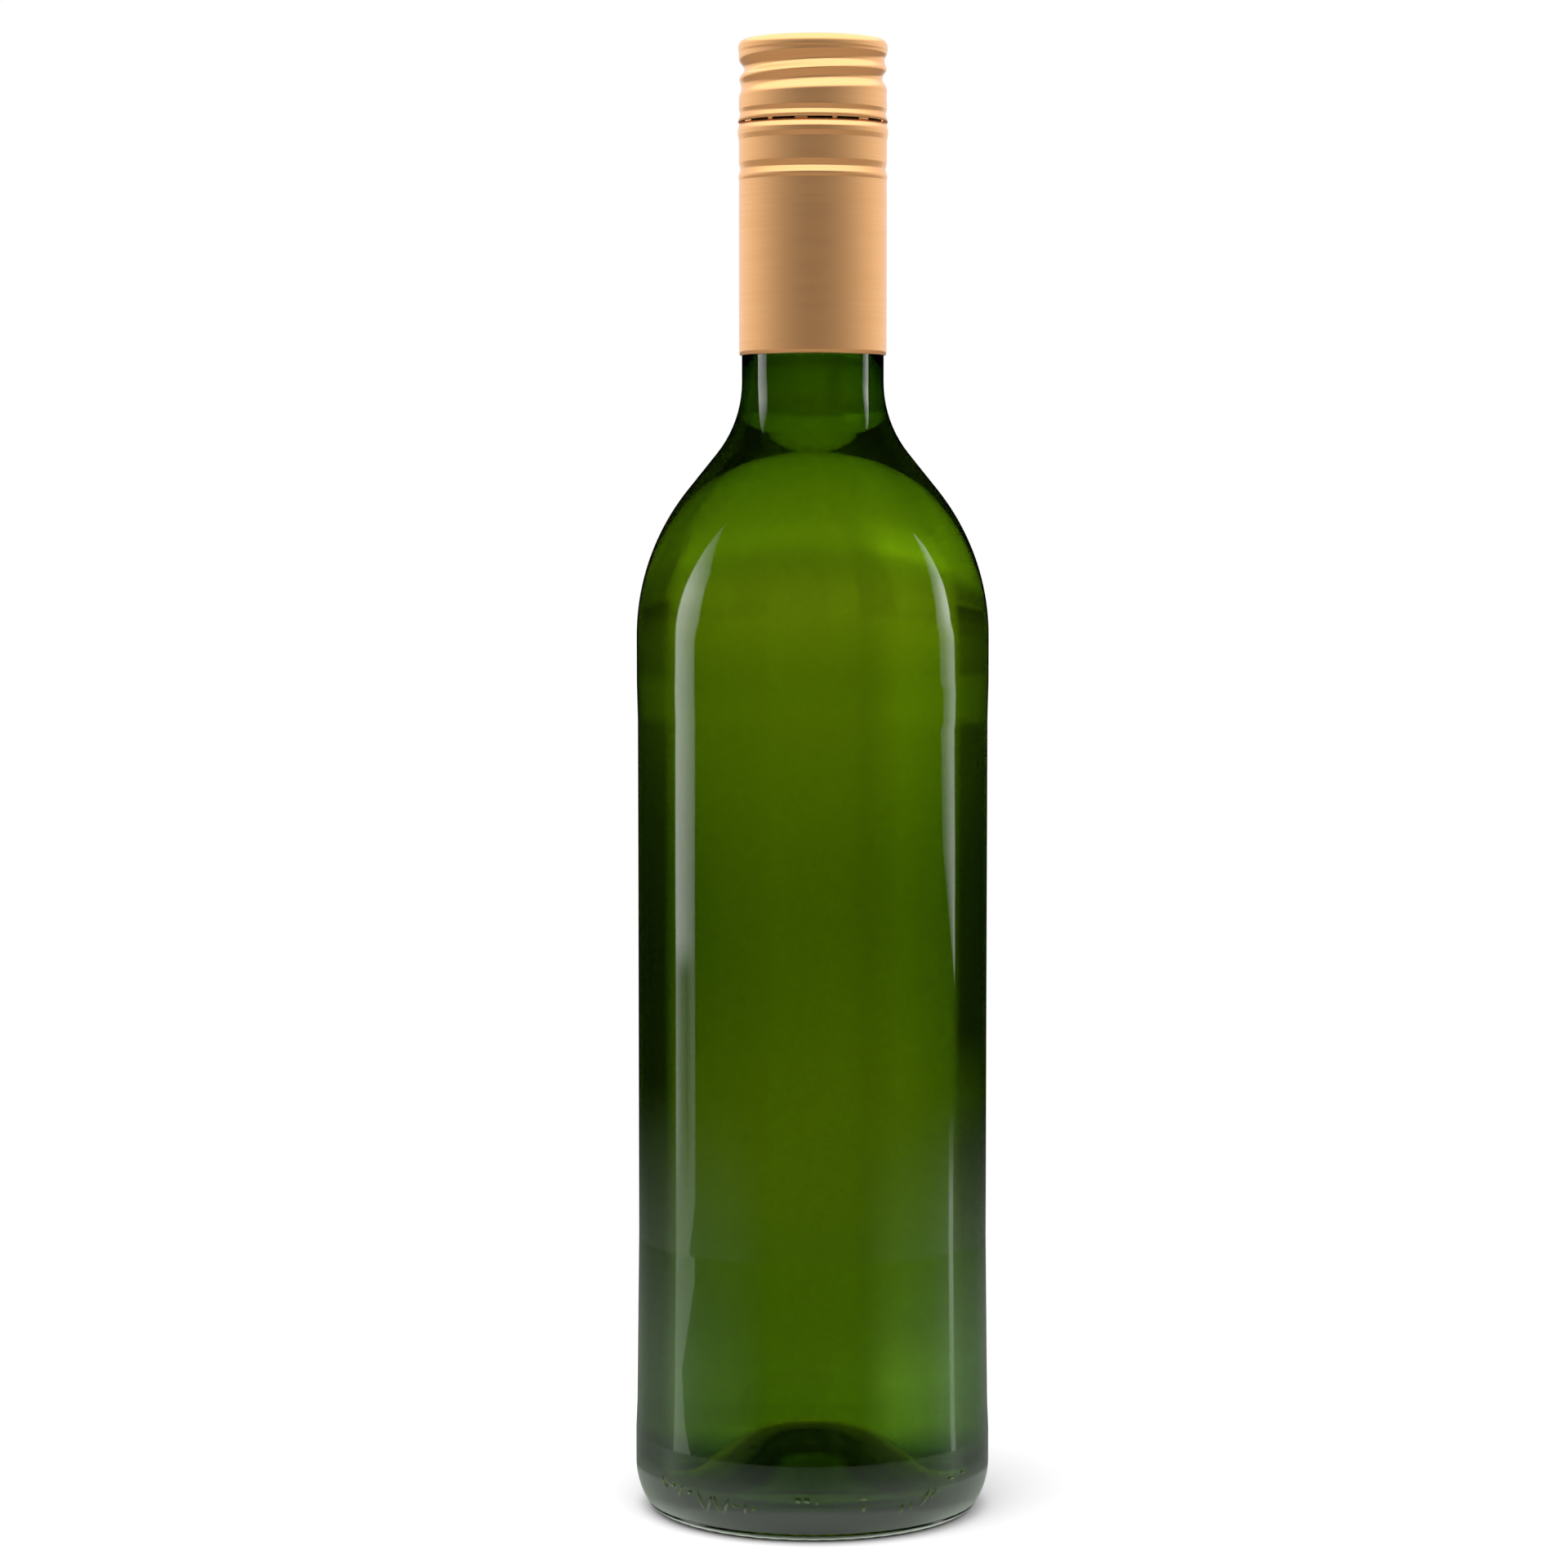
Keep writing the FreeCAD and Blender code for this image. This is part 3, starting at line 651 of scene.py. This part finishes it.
def brushed_gold():
    """Gold aluminium with fine level brushing: noise on Object coordinates, squeezed along Z."""
    made, tree, output = empty_material("brushed_gold_aluminium")
    place = add(tree, "ShaderNodeTexCoord").outputs["Object"]
    noise = []
    for scale, detail in (((25, 25, 2600), 3.0), ((60, 60, 240), 4.0)):
        squeezed = add(tree, "ShaderNodeMapping", {"Vector": place, "Scale": scale}).outputs[0]
        inputs = {"Vector": squeezed, "Scale": 1.0, "Detail": detail}
        noise.append(add(tree, "ShaderNodeTexNoise", inputs).outputs[0])
    both = add(tree, "ShaderNodeMix", {0: 0.3, 2: noise[0], 3: noise[1]}, data_type="FLOAT")
    tone = add(tree, "ShaderNodeValToRGB", {0: both.outputs[0]})
    tone.color_ramp.elements[0].position = 0.3
    tone.color_ramp.elements[0].color = (0.90, 0.48, 0.20, 1)
    tone.color_ramp.elements[1].position = 0.7
    tone.color_ramp.elements[1].color = (0.95, 0.52, 0.235, 1)
    gloss = add(
        tree,
        "ShaderNodeMapRange",
        {0: both.outputs[0], "From Min": 0.3, "From Max": 0.7, "To Min": 0.32, "To Max": 0.27},
    )
    relief = add(
        tree, "ShaderNodeBump", {"Strength": 0.08, "Distance": 0.00002, "Height": both.outputs[0]}
    )
    shader = add(
        tree,
        "ShaderNodeBsdfPrincipled",
        {
            "Base Color": tone.outputs[0],
            "Metallic": 1.0,
            "Roughness": gloss.outputs[0],
            "Normal": relief.outputs[0],
        },
    )
    tree.links.new(shader.outputs[0], output.inputs["Surface"])
    return made


gold = brushed_gold()
closure.data.materials.append(gold)
bridges.data.materials.append(gold)

# ---- the liner ----
# A disc of white foamed polyethylene under a thin barrier film, pressed between the rim and the
# cap. The cap hides it until the bottle is opened.
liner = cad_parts["liner"]
foam, tree, output = empty_material("white_foam_liner")
place = add(tree, "ShaderNodeTexCoord").outputs["Object"]
cells = add(tree, "ShaderNodeTexVoronoi", {"Vector": place, "Scale": 3500.0})
tone = add(tree, "ShaderNodeValToRGB", {0: cells.outputs["Distance"]})
tone.color_ramp.elements[0].color = (0.78, 0.78, 0.75, 1)
tone.color_ramp.elements[1].color = (0.88, 0.88, 0.86, 1)
relief = add(
    tree,
    "ShaderNodeBump",
    {"Strength": 0.3, "Distance": 0.00005, "Height": cells.outputs["Distance"]},
)
shader = add(
    tree,
    "ShaderNodeBsdfPrincipled",
    {"Base Color": tone.outputs[0], "Roughness": 0.55, "Normal": relief.outputs[0]},
)
tree.links.new(shader.outputs[0], output.inputs["Surface"])
liner.data.materials.clear()
liner.data.materials.append(foam)

# ---- the floor ----
# A plain pale sweep of matt board. Near the bottle it shows the bottle's soft shadow, and further
# out it is as white as the background. Rays that come out of the glass pass on to the background.
# Rough reflections, such as the closure's, see a darker copy of the board: painted shade.
FLOOR_HALF = 3.0
FLOOR_DROP = 0.0002
NEAR, FAR = 0.07, 0.24
reach = np.linspace(-FLOOR_HALF, FLOOR_HALF, 3)
fx, fy = np.meshgrid(reach, reach)
floor = facets(
    "floor",
    np.stack([fx.ravel(), fy.ravel(), np.full(9, -FLOOR_DROP)], -1),
    [(i, i + 1, i + 4, i + 3) for i in (0, 1, 3, 4)],
)


def math_node(tree, operation, *values):
    """The result of a maths node on one to three values or sockets."""
    return add(tree, "ShaderNodeMath", dict(enumerate(values)), operation=operation).outputs[0]


def ramp(tree, value, start, end, low=0.0, high=1.0):
    """A smooth step from low at start to high at end, level outside them."""
    inputs = {0: value, "From Min": start, "From Max": end, "To Min": low, "To Max": high}
    return add(tree, "ShaderNodeMapRange", inputs, interpolation_type="SMOOTHSTEP").outputs[0]


board, tree, output = empty_material("pale_board")
place = add(tree, "ShaderNodeTexCoord").outputs["Object"]
flat = add(tree, "ShaderNodeVectorMath", {0: place, 1: (1, 1, 0)}, operation="MULTIPLY").outputs[0]
distance = add(tree, "ShaderNodeVectorMath", {0: flat}, operation="LENGTH").outputs["Value"]
path = add(tree, "ShaderNodeLightPath")
matt = add(tree, "ShaderNodeBsdfDiffuse", {"Color": (0.7, 0.7, 0.7, 1), "Roughness": 0.5})
white = add(tree, "ShaderNodeEmission", {"Color": (1, 1, 1, 1), "Strength": 1.0})
away = math_node(tree, "MULTIPLY", path.outputs["Is Camera Ray"], ramp(tree, distance, NEAR, FAR))
seen = add(tree, "ShaderNodeMixShader", {0: away, 1: matt.outputs[0], 2: white.outputs[0]})
clear = add(tree, "ShaderNodeBsdfTransparent")
# A darker copy of the board that only rough reflections see: painted shade, not its own colour.
painted_dark_floor = add(tree, "ShaderNodeBsdfDiffuse", {"Color": (0.26, 0.23, 0.20, 1), "Roughness": 0.5})
in_metal = add(
    tree,
    "ShaderNodeMixShader",
    {0: path.outputs["Is Glossy Ray"], 1: seen.outputs[0], 2: painted_dark_floor.outputs[0]},
)
final = add(
    tree,
    "ShaderNodeMixShader",
    {0: path.outputs["Is Singular Ray"], 1: in_metal.outputs[0], 2: clear.outputs[0]},
)
tree.links.new(final.outputs[0], output.inputs["Surface"])
floor.data.materials.append(board)

# ---- the light ----
# One wide soft lamp overhead, and a bright studio all round. Painted on the world and seen only by
# rays through or mirrored in the glass: a tall white panel behind each side, with dark gaps at the
# corners, two upright strips mirrored in its sides as painted highlights, and a painted reflection
# of the floor low down.
lamp = bpy.data.lights.new("overhead", "AREA")
lamp.shape = "DISK"
lamp.size = 0.9
lamp.energy = 9.0
lamp_object = bpy.data.objects.new("overhead", lamp)
lamp_object.location = (-0.15, -0.25, 1.1)
lamp_object.rotation_euler = (math.radians(-12), math.radians(-8), 0)
bpy.context.scene.collection.objects.link(lamp_object)
lamp_object.visible_glossy = False
lamp_object.visible_transmission = False

world = bpy.data.worlds.new("studio")
bpy.context.scene.world = world
world.use_nodes = True
tree = world.node_tree
tree.nodes.clear()
output = tree.nodes.new("ShaderNodeOutputWorld")
way = add(tree, "ShaderNodeTexCoord").outputs["Generated"]
parts = add(tree, "ShaderNodeSeparateXYZ", {0: way})
right, back, up = parts.outputs
azimuth = math_node(tree, "DEGREES", math_node(tree, "ARCTAN2", right, back))
elevation = math_node(tree, "DEGREES", math_node(tree, "ARCSINE", up))


def table(tree, value, *stops):
    """Straight runs through (value, level) stops, level outside them."""
    first, last = stops[0][0], stops[-1][0]
    top = max(level for _, level in stops)
    inputs = {0: value, "From Min": first, "From Max": last}
    place = add(tree, "ShaderNodeMapRange", inputs).outputs[0]
    made = add(tree, "ShaderNodeValToRGB", {0: place})
    while len(made.color_ramp.elements) < len(stops):
        made.color_ramp.elements.new(0.5)
    for element, (at, level) in zip(made.color_ramp.elements, stops):
        element.position = (at - first) / (last - first)
        element.color = (level / top, level / top, level / top, 1)
    return math_node(tree, "MULTIPLY", made.outputs[0], top)


def between(tree, share, otherwise, value):
    """Otherwise where the share is 0, and the value where it is 1."""
    inputs = {0: share, 2: otherwise, 3: value}
    return add(tree, "ShaderNodeMix", inputs, data_type="FLOAT").outputs[0]


def product(tree, *values):
    """The product of two or more values or sockets, from the left."""
    total = values[0]
    for value in values[1:]:
        total = math_node(tree, "MULTIPLY", total, value)
    return total


# Through the glass: painted on the world and seen only by rays that pass through the glass, a tall
# panel behind each of four sides, with a darker gap at each corner that shades the bottle's edges.
# Off is the distance in degrees from the nearest panel's middle, and one side of each is
# the brighter.
half_turn = math_node(tree, "FLOORED_MODULO", math_node(tree, "ADD", azimuth, 450.0), 180.0)
signed = math_node(tree, "SUBTRACT", half_turn, 90.0)
to_corner = math_node(tree, "SUBTRACT", math_node(tree, "ABSOLUTE", signed), 45.0)
off = math_node(tree, "SUBTRACT", 45.0, math_node(tree, "ABSOLUTE", to_corner))
is_right = math_node(tree, "LESS_THAN", signed, 0.0)
middle = table(
    tree, elevation,
    (-28.0, 1.05), (-20.0, 1.0), (-15.5, 1.0), (-14.0, 0.9), (-12.5, 0.71), (-11.0, 0.64),
    (-7.0, 0.71), (-5.5, 0.74), (-4.5, 0.82), (-3.5, 0.83), (-2.0, 0.86), (3.0, 0.95),
    (9.0, 2.2), (20.0, 1.8), (35.0, 1.1),
)
extra = table(
    tree, elevation,
    (-20.0, 0.15), (-15.5, 0.6), (-14.0, 0.9), (-12.5, 0.5), (-11.0, 0.35), (-9.0, 0.22),
    (-5.0, 0.35), (-2.0, 0.5),
)
more = product(tree, ramp(tree, off, 7.0, 15.0), extra, is_right)
panel = product(tree, middle, math_node(tree, "ADD", more, 1.0))
left_gap = table(
    tree, elevation,
    (-20.0, 0.7), (-14.0, 0.3), (-11.0, 0.25), (-9.0, 0.25), (-8.0, 0.1), (-7.0, 0.11),
    (-5.5, 0.19), (-4.5, 0.26), (-3.5, 0.35), (-2.0, 0.6), (12.0, 1.0),
)
right_gap = table(
    tree, elevation,
    (-20.0, 1.5), (-14.0, 1.3), (-12.5, 0.9), (-11.0, 0.5), (-9.0, 0.36), (-8.2, 0.55),
    (-7.3, 0.16), (-5.5, 0.24), (-4.6, 0.34), (-3.9, 0.32), (-3.0, 0.6), (-2.4, 0.8),
)
left_view = between(tree, ramp(tree, off, 28.0, 35.0), panel, left_gap)
right_view = between(tree, ramp(tree, off, 28.5, 34.0), panel, right_gap)
through = between(tree, is_right, left_view, right_view)

# Mirrored in the glass: painted on the world and seen only by rays mirrored in the glass, lighting
# nothing else. Two upright strips are painted highlights, each brightest along its outer edge and
# tapered at its ends, and a painted reflection of the pale floor lies low down at the sides.


def window(tree, value, rise, fall):
    """1 from the end of the rise to the start of the fall, each a (start, end), and 0 outside."""
    return product(tree, ramp(tree, value, *rise), ramp(tree, value, *fall, 1.0, 0.0))


def strip(tree, outer, inner, power):
    """The power between two edges, which are azimuths that follow the elevation."""
    side = math_node(tree, "SUBTRACT", azimuth, outer)
    width = math_node(tree, "SUBTRACT", inner, outer)
    across = math_node(tree, "DIVIDE", side, width)
    inside = window(tree, across, (-0.05, 0.05), (0.95, 1.05))
    return across, product(tree, inside, power)


outer = table(
    tree, elevation,
    (-10.0, 77.8), (-3.5, 78.0), (-2.0, 78.8), (5.0, 79.4), (15.0, 82.0), (27.0, 86.0),
    (42.0, 90.5),
)
inner = table(
    tree, elevation,
    (-11.7, 81.0), (-10.0, 96.0), (-2.0, 96.5), (5.0, 100.0), (24.0, 101.0), (43.0, 91.5),
)
outer, inner = (product(tree, edge, -1.0) for edge in (outer, inner))
power = table(tree, elevation, (-6.0, 3.9), (15.0, 5.2), (27.0, 2.4), (42.0, 0.5))
across, left_strip = strip(tree, outer, inner, power)
ends = window(tree, elevation, (-12.3, -11.7), (42.0, 44.0))
upper_shade = table(tree, across, (0.0, 1.0), (0.35, 0.85), (1.0, 0.36))
lower_shade = table(
    tree, across, (0.0, 0.55), (0.3, 0.25), (0.6, 0.1), (0.85, 0.24), (1.0, 0.24)
)
lowest_shade = table(tree, across, (0.0, 0.27), (1.0, 0.24))
shade = between(tree, ramp(tree, elevation, -6.2, -6.9), upper_shade, lower_shade)
shade = between(tree, ramp(tree, elevation, -8.6, -10.3), shade, lowest_shade)
left_strip = product(tree, left_strip, ends, shade)

outer = table(
    tree, elevation,
    (-5.0, 72.8), (-2.0, 75.0), (3.0, 78.5), (15.0, 79.0), (30.0, 82.0), (36.0, 85.0),
)
inner = table(
    tree, elevation,
    (-7.0, 73.0), (-6.0, 79.0), (-5.0, 85.5), (-2.0, 90.0), (4.0, 92.0), (15.0, 91.0),
    (36.0, 86.5),
)
power = table(
    tree, elevation,
    (-5.0, 2.6), (-2.0, 3.0), (8.0, 6.0), (14.0, 5.5), (20.0, 3.6), (36.0, 2.4),
)
across, right_strip = strip(tree, outer, inner, power)
shade = table(tree, across, (0.0, 1.0), (0.3, 0.9), (0.7, 0.42), (1.0, 0.2))
ends = window(tree, elevation, (-7.2, -6.6), (35.0, 37.0))
right_strip = product(tree, right_strip, shade, ends)

# Below the right strip, a thin painted highlight runs on down towards the heel.
line = window(tree, azimuth, (73.0, 74.5), (77.5, 79.5))
power = table(
    tree, elevation, (-12.2, 0.0), (-11.6, 0.8), (-10.0, 1.6), (-9.3, 0.5), (-8.7, 0.0)
)
line = product(tree, line, power)
painted_strip_highlights = math_node(tree, "ADD", math_node(tree, "ADD", left_strip, right_strip), line)

# A painted reflection of the floor, which itself lets mirrored rays through: by how far the
# direction is from straight behind the bottle and how low it is.
from_back = math_node(tree, "ABSOLUTE", azimuth)
by_side = table(
    tree, from_back,
    (15.0, 0.22), (45.0, 0.35), (62.0, 0.55), (76.0, 1.0), (100.0, 0.5), (127.0, 0.3),
    (150.0, 0.04),
)
painted_floor_reflection = product(tree, ramp(tree, elevation, -8.2, -12.2, 0.01, 1.05), by_side)
round_heel = table(
    tree, from_back, (20.0, 0.4), (76.0, 1.1), (127.0, 1.0), (165.0, 0.7), (180.0, 0.6)
)
round_heel = product(tree, round_heel, ramp(tree, elevation, -12.0, -15.5, 0.0, 1.3))
below = table(
    tree, elevation, (-80.0, 0.9), (-60.0, 1.7), (-40.0, 1.9), (-27.0, 0.9), (-15.0, 0.0)
)
for painted_floor_part in (round_heel, below):
    painted_floor_reflection = math_node(tree, "MAXIMUM", painted_floor_reflection, painted_floor_part)
mirrored = math_node(tree, "ADD", painted_strip_highlights, painted_floor_reflection)

# On everything else: soft light, dimmest from the front, brighter behind and brightest above.
facing = ramp(tree, from_back, 45.0, 175.0, 1.02, 0.17)
ambient = math_node(tree, "MAXIMUM", facing, ramp(tree, elevation, 8.0, 34.0, 0.0, 1.75))

path = add(tree, "ShaderNodeLightPath")
sharp = path.outputs["Is Singular Ray"]
is_through = product(tree, sharp, path.outputs["Is Transmission Ray"])
is_mirrored = product(tree, sharp, path.outputs["Is Glossy Ray"])

# The camera itself sees a plain white background. What is mirrored low down is a little green,
# a pale tint on the painted reflection of the floor.
strength = between(tree, is_mirrored, ambient, mirrored)
strength = between(tree, is_through, strength, through)
strength = between(tree, path.outputs["Is Camera Ray"], strength, 1.0)
greenish = product(tree, is_mirrored, ramp(tree, elevation, -8.0, -12.0))
plain, pale_green = (1, 1, 1, 1), (0.87, 1.0, 0.84, 1)
colour = add(tree, "ShaderNodeMix", {0: greenish, 6: plain, 7: pale_green}, data_type="RGBA")
sky = add(tree, "ShaderNodeBackground", {"Color": colour.outputs[2], "Strength": strength})
tree.links.new(sky.outputs[0], output.inputs["Surface"])

# ---- the camera ----
# A long lens a little above the middle of the bottle, looking slightly down at it.
CAMERA_DISTANCE = 0.8645
LOOK_DOWN = math.radians(4.118)
AIM = (-0.00605, 0.0, 0.1541)
camera_data = bpy.data.cameras.new("camera")
camera_data.lens = 93.75
camera_data.sensor_width = 36.0
camera = bpy.data.objects.new("camera", camera_data)
camera.location = (
    AIM[0],
    AIM[1] - CAMERA_DISTANCE * math.cos(LOOK_DOWN),
    AIM[2] + CAMERA_DISTANCE * math.sin(LOOK_DOWN),
)
camera.rotation_euler = (math.pi / 2 - LOOK_DOWN, 0, 0)
bpy.context.scene.collection.objects.link(camera)
bpy.context.scene.camera = camera
bpy.context.scene.view_settings.view_transform = "Standard"
